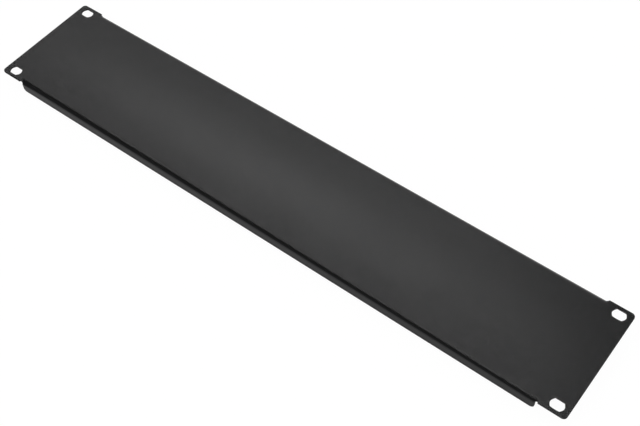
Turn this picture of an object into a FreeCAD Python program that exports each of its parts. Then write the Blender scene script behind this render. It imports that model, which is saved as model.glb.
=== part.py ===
"""Two-unit rack blanking panel: one steel sheet, punched and folded along both long edges.

The panel is drawn lying face up. +X runs along the rack's width, +Y runs up the rack once the
panel is fitted, and +Z points out of the front face. The origin is the centre of the four
mounting slots, in the plane of the ears' back faces, where the panel meets the rack.

The sheet is symmetric about two planes, so one quarter is modelled (+X, +Y) and mirrored twice.
"""

import FreeCAD
import Part
import Sketcher
import math
import os

# Driving dimensions in millimetres. Each can be changed alone.
SIZES = {
    # the whole panel
    "panel_width": 482.6,  # end to end across the rack: the nineteen-inch width
    "panel_height": 88.1,  # two rack units, less the clearance between neighbours
    "overall_depth": 9.8,  # front face to the flanges' free edges
    "sheet_thickness": 1.2,
    # the two folded flanges
    "ear_length": 20.4,  # end of the panel to the end of a flange
    "flange_inset": 0.15,  # ear's long edge to the flange's outer face
    "bend_radius": 2.6,  # inside the fold
    "flange_corner_radius": 3.0,
    # the relief notches that part the flanges from the ears, where the fold fades out
    "relief_width": 1.7,
    "root_fold_angle": 58.0,  # degrees of the fold that run into the ear's root
    # the ears and their mounting slots
    "ear_corner_radius": 2.8,
    "slot_length": 9.5,
    "slot_width": 7.1,
    "slot_end_inset": 8.75,  # end of the panel to the slot's centre
    "slot_side_inset": 5.95,  # long edge of the ear to the slot's centre
    # rounding that punching leaves on the front face's rims and the flanges' outer rims
    "rim_radius": 0.3,
}

# Places worked out from the driving dimensions, as formulas of the sheet.
PLACES = {
    "half_width": "=panel_width / 2",
    "half_height": "=panel_height / 2",
    "flange_end": "=half_width - ear_length",
    "flange_face": "=half_height - flange_inset",
    "flange_reach": "=overall_depth - sheet_thickness",
    "bend_outer_radius": "=bend_radius + sheet_thickness",
    "bend_centre_up": "=flange_face - bend_outer_radius",
    "ear_root": "=flange_end + relief_width",
    "root_strip": "=bend_outer_radius * sin(root_fold_angle)",
    "relief_bottom": "=bend_centre_up + root_strip",
    "slot_centre_across": "=half_width - slot_end_inset",
    "slot_centre_up": "=half_height - slot_side_inset",
    "slot_radius": "=slot_width / 2",
    "slot_straight": "=slot_length - slot_width",
    "slot_arc_inner": "=slot_centre_across - slot_straight / 2",
    # a rim's rounding stays inside the wall
    "rim_round": "=min(rim_radius; sheet_thickness / 3)",
}

SHEET = "Sizes"
START, END, CENTRE = 1, 2, 3
ORIGIN = (-1, 1)
NEAR = 1e-3  # how close an edge lies to a plane that it is in


def fill_sheet(doc):
    """Write the driving dimensions and the places into the document's spreadsheet."""
    sheet = doc.addObject("Spreadsheet::Sheet", SHEET)
    for row, (alias, content) in enumerate({**SIZES, **PLACES}.items(), start=1):
        sheet.set(f"A{row}", alias)
        sheet.set(f"B{row}", str(content))
        sheet.setAlias(f"B{row}", alias)
    doc.recompute()
    return sheet


def cell(sheet, alias):
    return float(sheet.get(alias))


def origin_plane(body, role):
    return next(item for item in body.Origin.OriginFeatures if item.Role == role)


def new_sketch(body, name, role, station=None):
    """A sketch on one of the body's origin planes, moved along its normal by a formula."""
    sketch = body.newObject("Sketcher::SketchObject", name)
    sketch.AttachmentSupport = (origin_plane(body, role), [""])
    sketch.MapMode = "FlatFace"
    if station:
        sketch.setExpression(".AttachmentOffset.Base.z", station)
    return sketch


def line(sketch, start, end):
    return sketch.addGeometry(Part.LineSegment(FreeCAD.Vector(*start, 0), FreeCAD.Vector(*end, 0)))


def arc(sketch, centre, radius, first, last):
    """An arc between two angles in degrees, counted anticlockwise from the sketch's X axis."""
    circle = Part.Circle(FreeCAD.Vector(*centre, 0), FreeCAD.Vector(0, 0, 1), radius)
    return sketch.addGeometry(Part.ArcOfCircle(circle, math.radians(first), math.radians(last)))


def meet(sketch, *pairs):
    for pair in pairs:
        sketch.addConstraint(Sketcher.Constraint("Coincident", *pair))


def blend(sketch, *pairs):
    """Join two elements end to end with a common tangent."""
    for pair in pairs:
        sketch.addConstraint(Sketcher.Constraint("Tangent", *pair))


def level(sketch, *lines):
    for item in lines:
        sketch.addConstraint(Sketcher.Constraint("Horizontal", item))


def upright(sketch, *lines):
    for item in lines:
        sketch.addConstraint(Sketcher.Constraint("Vertical", item))


def dimension(sketch, sheet, kind, refs, alias):
    """Add one driving dimension, bound to a cell of the sheet."""
    index = sketch.addConstraint(Sketcher.Constraint(kind, *refs, cell(sheet, alias)))
    name = f"{kind}_{alias}_{index}"
    sketch.renameConstraint(index, name)
    sketch.setExpression(f"Constraints.{name}", f"{SHEET}.{alias}")


def plate_sketch(body, sheet):
    """Quarter outline of the flat face and its ear, out to where the fold begins."""
    end, side = cell(sheet, "half_width"), cell(sheet, "half_height")
    radius = cell(sheet, "ear_corner_radius")
    root, fold = cell(sheet, "ear_root"), cell(sheet, "bend_centre_up")
    sketch = new_sketch(body, "PlateOutline", "XY_Plane")
    middle = line(sketch, (0, 0), (end, 0))
    short_end = line(sketch, (end, 0), (end, side - radius))
    corner = arc(sketch, (end - radius, side - radius), radius, 0, 90)
    long_edge = line(sketch, (end - radius, side), (root, side))
    root_line = line(sketch, (root, side), (root, fold))
    fold_line = line(sketch, (root, fold), (0, fold))
    centre_line = line(sketch, (0, fold), (0, 0))
    loop = (long_edge, root_line, fold_line, centre_line, middle, short_end)
    for first, second in zip(loop, loop[1:]):
        meet(sketch, (first, END, second, START))
    blend(sketch, (short_end, END, corner, START), (corner, END, long_edge, START))
    meet(sketch, (middle, START, *ORIGIN))
    level(sketch, middle, long_edge, fold_line)
    upright(sketch, short_end, root_line, centre_line)
    dimension(sketch, sheet, "DistanceX", (*ORIGIN, short_end, START), "half_width")
    dimension(sketch, sheet, "DistanceY", (*ORIGIN, long_edge, START), "half_height")
    dimension(sketch, sheet, "Radius", (corner,), "ear_corner_radius")
    dimension(sketch, sheet, "DistanceX", (*ORIGIN, root_line, START), "ear_root")
    dimension(sketch, sheet, "DistanceY", (*ORIGIN, fold_line, START), "bend_centre_up")
    return sketch


def flange_sketch(body, sheet):
    """Half outline of the flat flange below its fold, seen square on, with its rounded corner."""
    reach, radius = cell(sheet, "flange_reach"), cell(sheet, "flange_corner_radius")
    flange_end, top = cell(sheet, "flange_end"), cell(sheet, "bend_radius")
    sketch = new_sketch(body, "FlangeOutline", "XZ_Plane", f"-{SHEET}.flange_face")
    free_edge = line(sketch, (0, -reach), (flange_end - radius, -reach))
    corner = arc(sketch, (flange_end - radius, radius - reach), radius, -90, 0)
    end = line(sketch, (flange_end, radius - reach), (flange_end, -top))
    fold_line = line(sketch, (flange_end, -top), (0, -top))
    centre_line = line(sketch, (0, -top), (0, -reach))
    loop = (end, fold_line, centre_line, free_edge)
    for first, second in zip(loop, loop[1:]):
        meet(sketch, (first, END, second, START))
    blend(sketch, (free_edge, END, corner, START), (corner, END, end, START))
    level(sketch, free_edge, fold_line)
    upright(sketch, end, centre_line)
    sketch.addConstraint(Sketcher.Constraint("PointOnObject", free_edge, START, -2))
    dimension(sketch, sheet, "DistanceY", (free_edge, START, *ORIGIN), "flange_reach")
    dimension(sketch, sheet, "Radius", (corner,), "flange_corner_radius")
    dimension(sketch, sheet, "DistanceX", (*ORIGIN, end, START), "flange_end")
    dimension(sketch, sheet, "DistanceY", (fold_line, START, *ORIGIN), "bend_radius")
    return sketch


def bend_sketch(body, sheet):
    """Section of the bend alone: a quarter ring between the flat face and the flat flange."""
    inner, outer = cell(sheet, "bend_radius"), cell(sheet, "bend_outer_radius")
    up = cell(sheet, "bend_centre_up")
    sketch = new_sketch(body, "BendSection", "YZ_Plane")
    inside = arc(sketch, (up, -inner), inner, 0, 90)
    plate_cut = line(sketch, (up, 0), (up, outer - inner))
    outside = arc(sketch, (up, -inner), outer, 0, 90)
    flange_cut = line(sketch, (up + outer, -inner), (up + inner, -inner))
    meet(sketch, (inside, END, plate_cut, START), (plate_cut, END, outside, END))
    meet(sketch, (outside, START, flange_cut, START), (flange_cut, END, inside, START))
    level(sketch, flange_cut)
    place_fold(sketch, sheet, inside, outside, plate_cut)
    sketch.addConstraint(Sketcher.Constraint("Horizontal", inside, CENTRE, inside, START))
    return sketch


def place_fold(sketch, sheet, inside, outside, plate_cut):
    """Set the fold's two arcs about one centre, below the line where the flat face ends."""
    meet(sketch, (inside, CENTRE, outside, CENTRE))
    upright(sketch, plate_cut)
    sketch.addConstraint(Sketcher.Constraint("Vertical", inside, CENTRE, inside, END))
    dimension(sketch, sheet, "Radius", (inside,), "bend_radius")
    dimension(sketch, sheet, "Radius", (outside,), "bend_outer_radius")
    dimension(sketch, sheet, "DistanceX", (*ORIGIN, inside, CENTRE), "bend_centre_up")
    dimension(sketch, sheet, "DistanceY", (inside, CENTRE, *ORIGIN), "bend_radius")


def fold_end_sketch(body, sheet):
    """The part of the fold's section that runs on into the ear's root, cut square to the sheet."""
    inner, outer = cell(sheet, "bend_radius"), cell(sheet, "bend_outer_radius")
    up, angle = cell(sheet, "bend_centre_up"), cell(sheet, "root_fold_angle")
    sine, cosine = math.sin(math.radians(angle)), math.cos(math.radians(angle))
    sketch = new_sketch(body, "FoldEndSection", "YZ_Plane", f"{SHEET}.flange_end")
    inside = arc(sketch, (up, -inner), inner, 90 - angle, 90)
    plate_cut = line(sketch, (up, 0), (up, outer - inner))
    outside = arc(sketch, (up, -inner), outer, 90 - angle, 90)
    rim = [(up + radius * sine, radius * cosine - inner) for radius in (outer, inner)]
    edge = line(sketch, *rim)
    meet(sketch, (inside, END, plate_cut, START), (plate_cut, END, outside, END))
    meet(sketch, (outside, START, edge, START), (edge, END, inside, START))
    place_fold(sketch, sheet, inside, outside, plate_cut)
    sketch.addConstraint(Sketcher.Constraint("PointOnObject", inside, CENTRE, edge))
    dimension(sketch, sheet, "DistanceX", (*ORIGIN, outside, START), "relief_bottom")
    return sketch


def ear_root_sketch(body, sheet):
    """Section of the same strip where the fold has faded out: flat, at the ear's root."""
    up, reach = cell(sheet, "bend_centre_up"), cell(sheet, "relief_bottom")
    thickness = cell(sheet, "sheet_thickness")
    sketch = new_sketch(body, "EarRootSection", "YZ_Plane", f"{SHEET}.ear_root")
    back = line(sketch, (reach, 0), (up, 0))
    plate_cut = line(sketch, (up, 0), (up, thickness))
    front = line(sketch, (up, thickness), (reach, thickness))
    edge = line(sketch, (reach, thickness), (reach, 0))
    loop = (back, plate_cut, front, edge, back)
    for first, second in zip(loop, loop[1:]):
        meet(sketch, (first, END, second, START))
    level(sketch, back, front)
    upright(sketch, edge, plate_cut)
    sketch.addConstraint(Sketcher.Constraint("PointOnObject", back, END, -1))
    dimension(sketch, sheet, "DistanceX", (*ORIGIN, back, END), "bend_centre_up")
    dimension(sketch, sheet, "DistanceX", (back, END, back, START), "root_strip")
    dimension(sketch, sheet, "DistanceY", (plate_cut, START, plate_cut, END), "sheet_thickness")
    return sketch


def slot_sketch(body, sheet):
    """One mounting slot, long across the rack, with round ends."""
    radius, straight = cell(sheet, "slot_radius"), cell(sheet, "slot_straight")
    left, up = cell(sheet, "slot_arc_inner"), cell(sheet, "slot_centre_up")
    right = left + straight
    sketch = new_sketch(body, "SlotOutline", "XY_Plane")
    lower = line(sketch, (left, up - radius), (right, up - radius))
    outer_end = arc(sketch, (right, up), radius, -90, 90)
    upper = line(sketch, (right, up + radius), (left, up + radius))
    inner_end = arc(sketch, (left, up), radius, 90, 270)
    loop = (lower, outer_end, upper, inner_end, lower)
    for first, second in zip(loop, loop[1:]):
        blend(sketch, (first, END, second, START))
    level(sketch, lower, upper)
    dimension(sketch, sheet, "DistanceX", (*ORIGIN, inner_end, CENTRE), "slot_arc_inner")
    dimension(sketch, sheet, "DistanceY", (*ORIGIN, inner_end, CENTRE), "slot_centre_up")
    dimension(sketch, sheet, "DistanceX", (inner_end, CENTRE, outer_end, CENTRE), "slot_straight")
    dimension(sketch, sheet, "Radius", (outer_end,), "slot_radius")
    return sketch


def pad(doc, body, name, sketch, length):
    feature = body.newObject("PartDesign::Pad", name)
    feature.Profile = sketch
    feature.setExpression("Length", f"{SHEET}.{length}")
    doc.recompute()
    return feature


def pocket(doc, body, name, sketch):
    """Cut a sketch right through the sheet both ways, and make sure that it took metal away."""
    before = body.Shape.Volume
    feature = body.newObject("PartDesign::Pocket", name)
    feature.Profile = sketch
    feature.Type = "ThroughAll"
    feature.SideType = "Symmetric"
    doc.recompute()
    if body.Shape.Volume >= before:
        raise RuntimeError(f"{name} cut nothing")
    return feature


def ruled_loft(doc, body, name, sections):
    feature = body.newObject("PartDesign::AdditiveLoft", name)
    feature.Profile = sections[0]
    feature.Sections = sections[1:]
    feature.Ruled = True
    doc.recompute()
    return feature


def mirror(doc, body, name, role):
    """Mirror the whole body in one of its origin planes."""
    feature = body.newObject("PartDesign::Mirrored", name)
    feature.TransformMode = "Whole shape"
    feature.MirrorPlane = (origin_plane(body, role), [""])
    body.Tip = feature
    doc.recompute()
    return feature


def edges_where(shape, fits):
    """Names of the edges whose bounding box passes a test."""
    return [f"Edge{i}" for i, edge in enumerate(shape.Edges, start=1) if fits(edge.BoundBox)]


def fillet(doc, body, name, fits, radius):
    """Round the edges whose bounding box passes a test."""
    edges = edges_where(body.Shape, fits)
    if not edges:
        raise RuntimeError(f"{name} found no edge")
    base = body.Tip
    feature = body.newObject("PartDesign::Fillet", name)
    feature.Base = (base, edges)
    feature.setExpression("Radius", f"{SHEET}.{radius}")
    doc.recompute()
    return feature


def round_flange_rims(doc, body, sheet):
    """Round the outer rim of the flange's free edge, corner and end."""
    face, free_edge = cell(sheet, "flange_face") - NEAR, NEAR - cell(sheet, "flange_reach")
    fillet(
        doc,
        body,
        "FlangeRims",
        lambda box: box.YMin > face and box.ZMin < free_edge and box.XMax > NEAR,
        "rim_round",
    )


def round_front_rims(doc, body, sheet):
    """Round the front rims of the ear and the slot."""
    front, root = cell(sheet, "sheet_thickness") - NEAR, cell(sheet, "ear_root") + NEAR
    fillet(doc, body, "FrontRims", lambda box: box.ZMin > front and box.XMin > root, "rim_round")


def make_panel(doc, sheet):
    """The whole folded sheet as one body."""
    body = doc.addObject("PartDesign::Body", "Panel")
    body.Label = "panel"
    pad(doc, body, "Plate", plate_sketch(body, sheet), "sheet_thickness")
    pad(doc, body, "Bend", bend_sketch(body, sheet), "flange_end")
    pad(doc, body, "Flange", flange_sketch(body, sheet), "sheet_thickness")
    sections = [fold_end_sketch(body, sheet), ear_root_sketch(body, sheet)]
    ruled_loft(doc, body, "EarRoot", sections)
    round_flange_rims(doc, body, sheet)
    pocket(doc, body, "Slot", slot_sketch(body, sheet))
    round_front_rims(doc, body, sheet)
    mirror(doc, body, "OtherEnd", "YZ_Plane")
    mirror(doc, body, "OtherEdge", "XZ_Plane")
    return body


def check(doc, bodies):
    """Stop before anything is written if an object failed or a shape is unsound."""
    for item in doc.Objects:
        if "Invalid" in item.State or "Error" in item.State:
            raise RuntimeError(f"{item.Name} failed: {item.State}")
    for body in bodies:
        if body.Shape.isNull() or not body.Shape.isValid() or len(body.Shape.Solids) != 1:
            raise RuntimeError(f"{body.Label} is not one sound solid")


def main():
    doc = FreeCAD.newDocument("RackBlankingPanel")
    sheet = fill_sheet(doc)
    bodies = [make_panel(doc, sheet)]
    check(doc, bodies)
    os.makedirs("parts", exist_ok=True)
    for body in bodies:
        body.Shape.exportStep(f"parts/{body.Label}.step")
        box = body.Shape.BoundBox
        print(body.Label, "volume", round(body.Shape.Volume, 1), "faces", len(body.Shape.Faces), box)


main()
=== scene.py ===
"""Studio scene for the rack blanking panel: a satin black powder coat on the folded CAD sheet.

The panel lies face up on a white floor, as the CAD model has it. Lengths are in metres and angles
in degrees. A white surround lights the scene, with no lamps. Everything else in the lighting is a
card that only reflections see: dark flags and thin nets overhead, dark cards in front of the panel
and on the floor around it, and one soft bright strip above and behind it.
"""

import math

import bmesh
import bpy
from mathutils import Matrix, Vector


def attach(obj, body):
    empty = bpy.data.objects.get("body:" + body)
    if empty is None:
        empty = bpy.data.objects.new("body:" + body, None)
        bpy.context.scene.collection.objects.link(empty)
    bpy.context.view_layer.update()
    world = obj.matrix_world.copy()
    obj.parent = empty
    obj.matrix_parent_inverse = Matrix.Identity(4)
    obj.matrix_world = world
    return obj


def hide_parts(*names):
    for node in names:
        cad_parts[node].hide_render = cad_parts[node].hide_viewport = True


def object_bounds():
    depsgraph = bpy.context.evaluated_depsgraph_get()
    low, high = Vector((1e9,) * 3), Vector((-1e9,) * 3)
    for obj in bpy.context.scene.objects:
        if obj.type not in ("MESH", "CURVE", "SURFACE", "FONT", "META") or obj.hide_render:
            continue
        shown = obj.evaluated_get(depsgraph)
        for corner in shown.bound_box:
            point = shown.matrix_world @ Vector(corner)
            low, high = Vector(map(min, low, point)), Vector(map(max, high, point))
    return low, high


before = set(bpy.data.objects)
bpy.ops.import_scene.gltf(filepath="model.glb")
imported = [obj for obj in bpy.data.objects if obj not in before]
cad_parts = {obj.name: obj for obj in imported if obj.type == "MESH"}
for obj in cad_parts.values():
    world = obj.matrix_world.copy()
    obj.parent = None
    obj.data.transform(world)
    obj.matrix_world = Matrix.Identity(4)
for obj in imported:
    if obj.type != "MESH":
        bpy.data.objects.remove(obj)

CAD_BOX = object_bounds()
LOW, HIGH = CAD_BOX
MIDDLE = (LOW + HIGH) / 2

# The cut that fills out the corners of the CAD's round-ended slots. It has two flat sides, closed
# by shallow arcs with small corners. The slots' round tips and flat sides reach past it, so they
# stay as they are.
SLOT_SPACING = (0.4651, 0.0762)
CUT_LENGTH, CUT_WIDTH = 0.0091, 0.00706
CUT_END_RADIUS, CUT_CORNER_RADIUS = 0.005, 0.0006
CUT_END_STEPS, CUT_CORNER_STEPS = 12, 5
CUT_LEVELS = (-0.002, 0.004)  # clear of the ears' back and front faces

# The mesh that the cut is made in
WELD_DISTANCE = 1e-7
SHARP_ANGLE = 28.0

# Powder coat: the sizes of its textures, per metre, and how much they change the surface
PEEL_SCALE, GRAIN_SCALE, CLOUD_SCALE = 900.0, 3200.0, 22.0
GRAIN_SHARE = 0.35  # of the relief; the rest is orange peel
BUMP_STRENGTH, BUMP_DEPTH = 0.35, 0.00002
COAT_ROUGHNESS = (0.18, 0.21)
CLOUD_RANGE = (0.3, 0.7)  # the part of the noise that the roughness follows
COAT_DARK = (0.0050, 0.0050, 0.0052, 1)
COAT_PALE = (0.0070, 0.0070, 0.0072, 1)
COAT_IOR = 1.5

# Camera: where it stands from the panel's middle, which way it looks, and its lens
CAMERA_DISTANCE = 0.7379
CAMERA_AZIMUTH, CAMERA_ELEVATION = 42.431, 51.990
LOOK_AZIMUTH, LOOK_DOWN, LOOK_ROLL = 39.856, 53.610, -3.056
LENS_MM, SENSOR_MM = 59.924, 36.0
CLIP_START = 0.01

# Floor and surround: what the camera and the gloss see, and what lights the scene
FLOOR_SIZE = (12.0, 12.0)
FLOOR_DROP = 0.0001  # below the flanges' free edges
FLOOR_PAINT = (0.62, 0.62, 0.62, 1)
FLOOR_GLOW = 1.035  # with the little that the floor paint adds, white where nothing shades it
FLOOR_GLOW_SHARE = 0.93  # of what the camera sees; the rest is the paint, with the panel's shadow
WHITE = 1.0
SURROUND_DIFFUSE = 0.95

# Two dark flags overhead leave a white gap between them that runs along the camera's direction.
# Each is given by where it begins and where it is full, across the gap.
DARK_LEVEL = 0.1
OVERHEAD_SIZE = (16.0, 16.0)
OVERHEAD_HEIGHT = 1.5
FLAG_TURN = 40.0
LEFT_FLAG = (-0.93, -1.08)
RIGHT_FLAG = (0.42, 0.72)
RIGHT_FLAG_SIZE = (16.0, 8.0)
RIGHT_FLAG_END = 1.5  # how far it reaches along the gap, away from the camera

# Thin nets overhead dim the surround a little on the left and behind the panel.
LEFT_NET = (-0.5, -1.8)
LEFT_NET_SHADE = 0.22
BACK_NET = (0.45, 0.65)
BACK_NET_SHADE = 0.1
NET_DROP = 0.01  # from one overhead card to the next

# Dark card that stands far in front of the panel
FRONT_CARD_SIZE = (12.0, 3.0)
FRONT_CARD_AWAY = 3.0

# Dark card over the floor in front of the panel: its edge slants away towards the left.
FLOOR_CARD_SIZE = (12.0, 3.0)
FLOOR_CARD_GAP = 0.04
FLOOR_CARD_TURN = 4.0
FLOOR_CARD_RISE = 0.0005

# Small dark cards on the floor, beside the left ear and beyond the right end: painted shade
# standing in for the panel's shadow on the floor there, which only the rims' reflections show
LEFT_EAR_CARD_SIZE = (0.1, 0.08)
LEFT_EAR_CARD_PLACE = (-0.277, -0.0847)
RIGHT_END_CARD_SIZE = (0.2, 0.14)
RIGHT_END_CARD_GAP = 0.0003
SMALL_CARD_RISE = 0.0006

# Soft strip above and behind the panel: its middle, its size with the soft borders, its radiance
STRIP_MIDDLE = (-0.215, 0.193, 0.35)
STRIP_LENGTH, STRIP_WIDTH = 1.06, 0.09
STRIP_LEVEL = 1.1


def node(tree, kind, **values):
    """Add a shader node; a value whose name is an input sets that input."""
    made = tree.nodes.new(kind)
    for name, value in values.items():
        label = name.replace("_", " ")
        if label in made.inputs:
            made.inputs[label].default_value = value
        else:
            setattr(made, name, value)
    return made


def empty_material(name):
    material = bpy.data.materials.new(name)
    material.use_nodes = True
    material.node_tree.nodes.clear()
    return material, material.node_tree


def set_surface(tree, shader):
    """Make a shader the material's surface."""
    out = node(tree, "ShaderNodeOutputMaterial")
    tree.links.new(shader, out.inputs["Surface"])


def emission(tree, level):
    return node(tree, "ShaderNodeEmission", Strength=level).outputs["Emission"]


def clear(tree):
    return node(tree, "ShaderNodeBsdfTransparent").outputs["BSDF"]


def mix_shaders(tree, share, first, second):
    """Blend two shaders: all of the first at a share of 0, all of the second at 1."""
    mix = node(tree, "ShaderNodeMixShader")
    tree.links.new(share, mix.inputs["Fac"])
    tree.links.new(first, mix.inputs[1])
    tree.links.new(second, mix.inputs[2])
    return mix.outputs["Shader"]


def combine(tree, operation, first, second):
    """Do a sum on two values, each a number or another node's output."""
    made = node(tree, "ShaderNodeMath", operation=operation)
    for socket, value in zip(made.inputs, (first, second)):
        if isinstance(value, (int, float)):
            socket.default_value = value
        else:
            tree.links.new(value, socket)
    return made.outputs["Value"]


def remap(tree, value, source, target, **values):
    """Carry a value from one range to another, and hold it at the ends."""
    made = node(tree, "ShaderNodeMapRange", **values)
    for side, (low, high) in (("From", source), ("To", target)):
        made.inputs[f"{side} Min"].default_value = low
        made.inputs[f"{side} Max"].default_value = high
    tree.links.new(value, made.inputs["Value"])
    return made.outputs["Result"]


def smooth_ramp(tree, value, start, end):
    """A smooth change from 0 at start to 1 at end, whichever of the two is larger."""
    if start < end:
        return remap(tree, value, (start, end), (0.0, 1.0), interpolation_type="SMOOTHSTEP")
    return remap(tree, value, (end, start), (1.0, 0.0), interpolation_type="SMOOTHSTEP")


def powder_coat():
    """Black powder coat: a fine orange peel under a satin skin that varies a little in gloss."""
    material, tree = empty_material("powder_coat_black")
    link = tree.links.new
    place = node(tree, "ShaderNodeTexCoord")
    peel = node(tree, "ShaderNodeTexNoise", Scale=PEEL_SCALE, Detail=2.0, Roughness=0.5)
    grain = node(tree, "ShaderNodeTexNoise", Scale=GRAIN_SCALE, Detail=1.0, Roughness=0.5)
    cloud = node(tree, "ShaderNodeTexNoise", Scale=CLOUD_SCALE, Detail=3.0, Roughness=0.5)
    for texture in (peel, grain, cloud):
        link(place.outputs["Object"], texture.inputs["Vector"])

    relief = node(tree, "ShaderNodeMix", data_type="FLOAT")
    relief.inputs["Factor"].default_value = GRAIN_SHARE
    link(peel.outputs["Fac"], relief.inputs["A"])
    link(grain.outputs["Fac"], relief.inputs["B"])
    bump = node(tree, "ShaderNodeBump", Strength=BUMP_STRENGTH, Distance=BUMP_DEPTH)
    link(relief.outputs["Result"], bump.inputs["Height"])

    tint = node(tree, "ShaderNodeMix", data_type="RGBA")
    tint.inputs["A"].default_value = COAT_DARK
    tint.inputs["B"].default_value = COAT_PALE
    link(grain.outputs["Fac"], tint.inputs["Factor"])

    skin = node(tree, "ShaderNodeBsdfPrincipled", IOR=COAT_IOR)
    link(tint.outputs["Result"], skin.inputs["Base Color"])
    link(remap(tree, cloud.outputs["Fac"], CLOUD_RANGE, COAT_ROUGHNESS), skin.inputs["Roughness"])
    link(bump.outputs["Normal"], skin.inputs["Normal"])
    set_surface(tree, skin.outputs["BSDF"])
    return material


def arc_points(centre, radius, first, last, steps):
    """Points on an arc between two angles in degrees."""
    angles = [math.radians(first + (last - first) * i / steps) for i in range(steps + 1)]
    return [(centre + radius * math.cos(a), radius * math.sin(a)) for a in angles]


def cut_outline():
    """The cut's outline about a slot's middle, anticlockwise."""
    half_width, corner = CUT_WIDTH / 2, CUT_CORNER_RADIUS
    end_centre = CUT_LENGTH / 2 - CUT_END_RADIUS
    rise = half_width - corner
    reach = math.sqrt((CUT_END_RADIUS - corner) ** 2 - rise**2)
    turn = math.degrees(math.atan2(rise, reach))
    end = arc_points(end_centre, CUT_END_RADIUS, -turn, turn, CUT_END_STEPS)
    upper_corner = arc_points(end_centre + reach, corner, turn, 90, CUT_CORNER_STEPS)[1:]
    upper = [(x, y + rise) for x, y in upper_corner]
    lower = [(x, -y) for x, y in reversed(upper)]
    right = lower + end + upper
    return right + [(-x, -y) for x, y in right]


def slot_cutter():
    """Four upright prisms with the cut's outline, through the ears at the slots."""
    shape = bmesh.new()
    for side_x in (-0.5, 0.5):
        for side_y in (-0.5, 0.5):
            middle = Vector((SLOT_SPACING[0] * side_x, SLOT_SPACING[1] * side_y, 0))
            rings = []
            for level in CUT_LEVELS:
                points = [middle + Vector((x, y, level)) for x, y in cut_outline()]
                rings.append([shape.verts.new(point) for point in points])
            bottom, top = rings
            shape.faces.new(list(reversed(bottom)))
            shape.faces.new(top)
            for i in range(len(top)):
                j = (i + 1) % len(top)
                shape.faces.new((bottom[i], bottom[j], top[j], top[i]))
    mesh = bpy.data.meshes.new("slot_cutter")
    shape.to_mesh(mesh)
    shape.free()
    cutter = bpy.data.objects.new("slot_cutter", mesh)
    bpy.context.scene.collection.objects.link(cutter)
    return cutter


def welded_copy(panel):
    """A copy of the CAD panel, with the seams of its facets closed."""
    piece = panel.copy()
    piece.name = "panel_punched"
    piece.data = panel.data.copy()
    bpy.context.scene.collection.objects.link(piece)
    shape = bmesh.new()
    shape.from_mesh(piece.data)
    bmesh.ops.remove_doubles(shape, verts=shape.verts, dist=WELD_DISTANCE)
    shape.to_mesh(piece.data)
    shape.free()
    return piece


def punched_panel(panel):
    """The panel with its slots' corners filled out, standing for the CAD node."""
    piece = welded_copy(panel)
    cutter = slot_cutter()
    cut = piece.modifiers.new("slots", "BOOLEAN")
    cut.operation = "DIFFERENCE"
    cut.solver = "EXACT"
    cut.object = cutter
    view = bpy.context.evaluated_depsgraph_get()
    mesh = bpy.data.meshes.new_from_object(piece.evaluated_get(view))
    piece.modifiers.clear()
    bpy.data.objects.remove(cutter)
    mesh.shade_smooth()
    mesh.set_sharp_from_angle(angle=math.radians(SHARP_ANGLE))
    piece.data = mesh
    piece.modifiers.new("flat_faces", "WEIGHTED_NORMAL").keep_sharp = True
    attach(piece, "root")
    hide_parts("panel")
    return piece


def floor_material():
    """White floor: plain white to the camera with the panel's soft shadow left in it."""
    material, tree = empty_material("studio_floor")
    camera_ray = node(tree, "ShaderNodeLightPath").outputs["Is Camera Ray"]
    paint = node(tree, "ShaderNodeBsdfDiffuse", Color=FLOOR_PAINT).outputs["BSDF"]
    share = combine(tree, "MULTIPLY", camera_ray, FLOOR_GLOW_SHARE)
    set_surface(tree, mix_shaders(tree, share, paint, emission(tree, FLOOR_GLOW)))
    return material


def dark_material():
    material, tree = empty_material("dark_card")
    set_surface(tree, emission(tree, DARK_LEVEL))
    return material


def card_axes(tree):
    """The card's own two axes, in metres from its middle."""
    place = node(tree, "ShaderNodeTexCoord")
    split = node(tree, "ShaderNodeSeparateXYZ")
    tree.links.new(place.outputs["Object"], split.inputs["Vector"])
    return split.outputs["X"], split.outputs["Y"]


def net_material(name, ramp, shade, level):
    """Clear up to the ramp across the card, and past it shading the surround to a share."""
    material, tree = empty_material(name)
    across, _ = card_axes(tree)
    cover = combine(tree, "MULTIPLY", smooth_ramp(tree, across, *ramp), shade)
    set_surface(tree, mix_shaders(tree, cover, clear(tree), emission(tree, level)))
    return material


def strip_material():
    """A glow that is strongest in the middle and fades towards all four borders."""
    material, tree = empty_material("soft_strip")
    along, across = card_axes(tree)
    length = combine(tree, "ABSOLUTE", along, 0.0)
    width = combine(tree, "ABSOLUTE", across, 0.0)
    fade_along = smooth_ramp(tree, length, STRIP_LENGTH / 2, 0.0)
    fade_across = smooth_ramp(tree, width, STRIP_WIDTH / 2, 0.0)
    fade = combine(tree, "MULTIPLY", fade_along, fade_across)
    glow = node(tree, "ShaderNodeEmission")
    tree.links.new(combine(tree, "MULTIPLY", fade, STRIP_LEVEL), glow.inputs["Strength"])
    both = node(tree, "ShaderNodeAddShader")
    tree.links.new(glow.outputs["Emission"], both.inputs[0])
    tree.links.new(clear(tree), both.inputs[1])
    set_surface(tree, both.outputs["Shader"])
    return material


def rectangle(name, size, material, level=0.0):
    """A flat stage piece about its own middle."""
    x, y = size[0] / 2, size[1] / 2
    corners = [(-x, -y, level), (x, -y, level), (x, y, level), (-x, y, level)]
    mesh = bpy.data.meshes.new(name)
    mesh.from_pydata(corners, [], [tuple(range(len(corners)))])
    mesh.materials.append(material)
    made = bpy.data.objects.new(name, mesh)
    bpy.context.scene.collection.objects.link(made)
    return made


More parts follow.
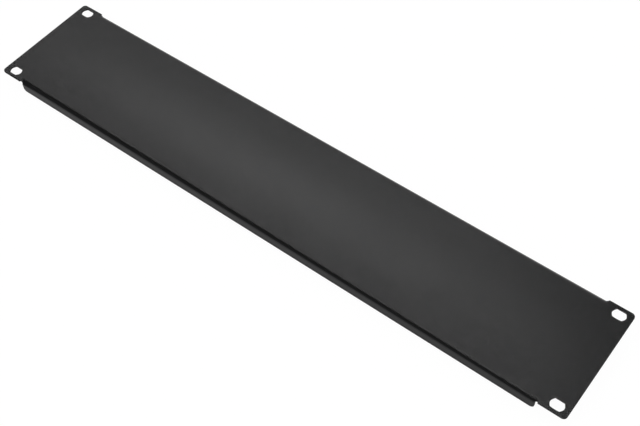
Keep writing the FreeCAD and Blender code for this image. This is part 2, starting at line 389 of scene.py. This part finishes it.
def make_world():
    """White to the camera, to gloss and through glass; softer where it lights the scene."""
    world = bpy.data.worlds.new("studio")
    bpy.context.scene.world = world
    world.use_nodes = True
    tree = world.node_tree
    tree.nodes.clear()
    ray = node(tree, "ShaderNodeLightPath").outputs
    seen = combine(tree, "MAXIMUM", ray["Is Camera Ray"], ray["Is Glossy Ray"])
    plain = combine(tree, "MAXIMUM", seen, ray["Is Transmission Ray"])
    back = node(tree, "ShaderNodeBackground", Color=(1, 1, 1, 1))
    level = remap(tree, plain, (0.0, 1.0), (SURROUND_DIFFUSE, WHITE))
    tree.links.new(level, back.inputs["Strength"])
    out = node(tree, "ShaderNodeOutputWorld")
    tree.links.new(back.outputs["Background"], out.inputs["Surface"])


def make_card(name, size, place, turn, material):
    """A card that only reflections see. turn is its rotation in degrees."""
    card = rectangle(name, size, material)
    card.location = place
    card.rotation_euler = [math.radians(angle) for angle in turn]
    card.visible_camera = False
    card.visible_diffuse = False
    card.visible_shadow = False
    return card


def make_overhead_cards():
    """The two flags beside the gap, and below them the two nets."""
    left_flag = net_material("left_flag", LEFT_FLAG, 1.0, DARK_LEVEL)
    right_flag = net_material("right_flag", RIGHT_FLAG, 1.0, DARK_LEVEL)
    left_net = net_material("left_net", LEFT_NET, LEFT_NET_SHADE, 0.0)
    back_net = net_material("back_net", BACK_NET, BACK_NET_SHADE, 0.0)
    along_gap = Matrix.Rotation(math.radians(FLAG_TURN), 3, "Z") @ Vector((0, 1, 0))
    overhead = Vector((0, 0, OVERHEAD_HEIGHT))
    right_place = overhead + along_gap * (RIGHT_FLAG_END - RIGHT_FLAG_SIZE[1] / 2)
    drop = Vector((0, 0, NET_DROP))
    make_card("left_flag", OVERHEAD_SIZE, overhead, (0, 0, FLAG_TURN), left_flag)
    make_card("right_flag", RIGHT_FLAG_SIZE, right_place, (0, 0, FLAG_TURN), right_flag)
    make_card("left_net", OVERHEAD_SIZE, overhead - drop, (0, 0, 0), left_net)
    make_card("back_net", OVERHEAD_SIZE, overhead - 2 * drop, (0, 0, 90), back_net)


def make_dark_cards():
    """The upright card in front of the panel, and the three that lie on the floor around it."""
    dark = dark_material()
    front_place = (0, -FRONT_CARD_AWAY, LOW.z + FRONT_CARD_SIZE[1] / 2)
    make_card("front_card", FRONT_CARD_SIZE, front_place, (90, 0, 0), dark)
    floor_middle = LOW.y - FLOOR_CARD_GAP - FLOOR_CARD_SIZE[1] / 2
    floor_place = (0, floor_middle, LOW.z + FLOOR_CARD_RISE)
    make_card("floor_card", FLOOR_CARD_SIZE, floor_place, (0, 0, FLOOR_CARD_TURN), dark)
    # The two small floor cards are painted shade: the panel's shadow on the floor beside its left
    # ear and right end, as its rims reflect it
    small_level = LOW.z + SMALL_CARD_RISE
    ear_place = (*LEFT_EAR_CARD_PLACE, small_level)
    make_card("left_ear_shade_card", LEFT_EAR_CARD_SIZE, ear_place, (0, 0, 0), dark)
    end_middle = HIGH.x + RIGHT_END_CARD_GAP + RIGHT_END_CARD_SIZE[0] / 2
    make_card("right_end_shade_card", RIGHT_END_CARD_SIZE, (end_middle, 0, small_level), (0, 0, 0), dark)


def make_camera():
    azimuth, elevation = math.radians(CAMERA_AZIMUTH), math.radians(CAMERA_ELEVATION)
    out = Vector((math.sin(azimuth), -math.cos(azimuth), math.tan(elevation))).normalized()
    turn = Matrix.Rotation(math.radians(LOOK_AZIMUTH), 4, "Z")
    tilt = Matrix.Rotation(math.radians(90 - LOOK_DOWN), 4, "X")
    roll = Matrix.Rotation(math.radians(LOOK_ROLL), 4, "Z")
    data = bpy.data.cameras.new("camera")
    data.lens = LENS_MM
    data.sensor_width = SENSOR_MM
    data.clip_start = CLIP_START
    camera = bpy.data.objects.new("camera", data)
    camera.matrix_world = Matrix.Translation(MIDDLE + out * CAMERA_DISTANCE) @ turn @ tilt @ roll
    bpy.context.scene.collection.objects.link(camera)
    bpy.context.scene.camera = camera


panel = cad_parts["panel"]
panel.material_slots[0].material = powder_coat()
punched_panel(panel)
rectangle("floor", FLOOR_SIZE, floor_material(), LOW.z - FLOOR_DROP)
make_world()
make_overhead_cards()
make_dark_cards()
make_card("strip", (STRIP_LENGTH, STRIP_WIDTH), STRIP_MIDDLE, (0, 0, 0), strip_material())
make_camera()
bpy.context.scene.view_settings.view_transform = "Standard"
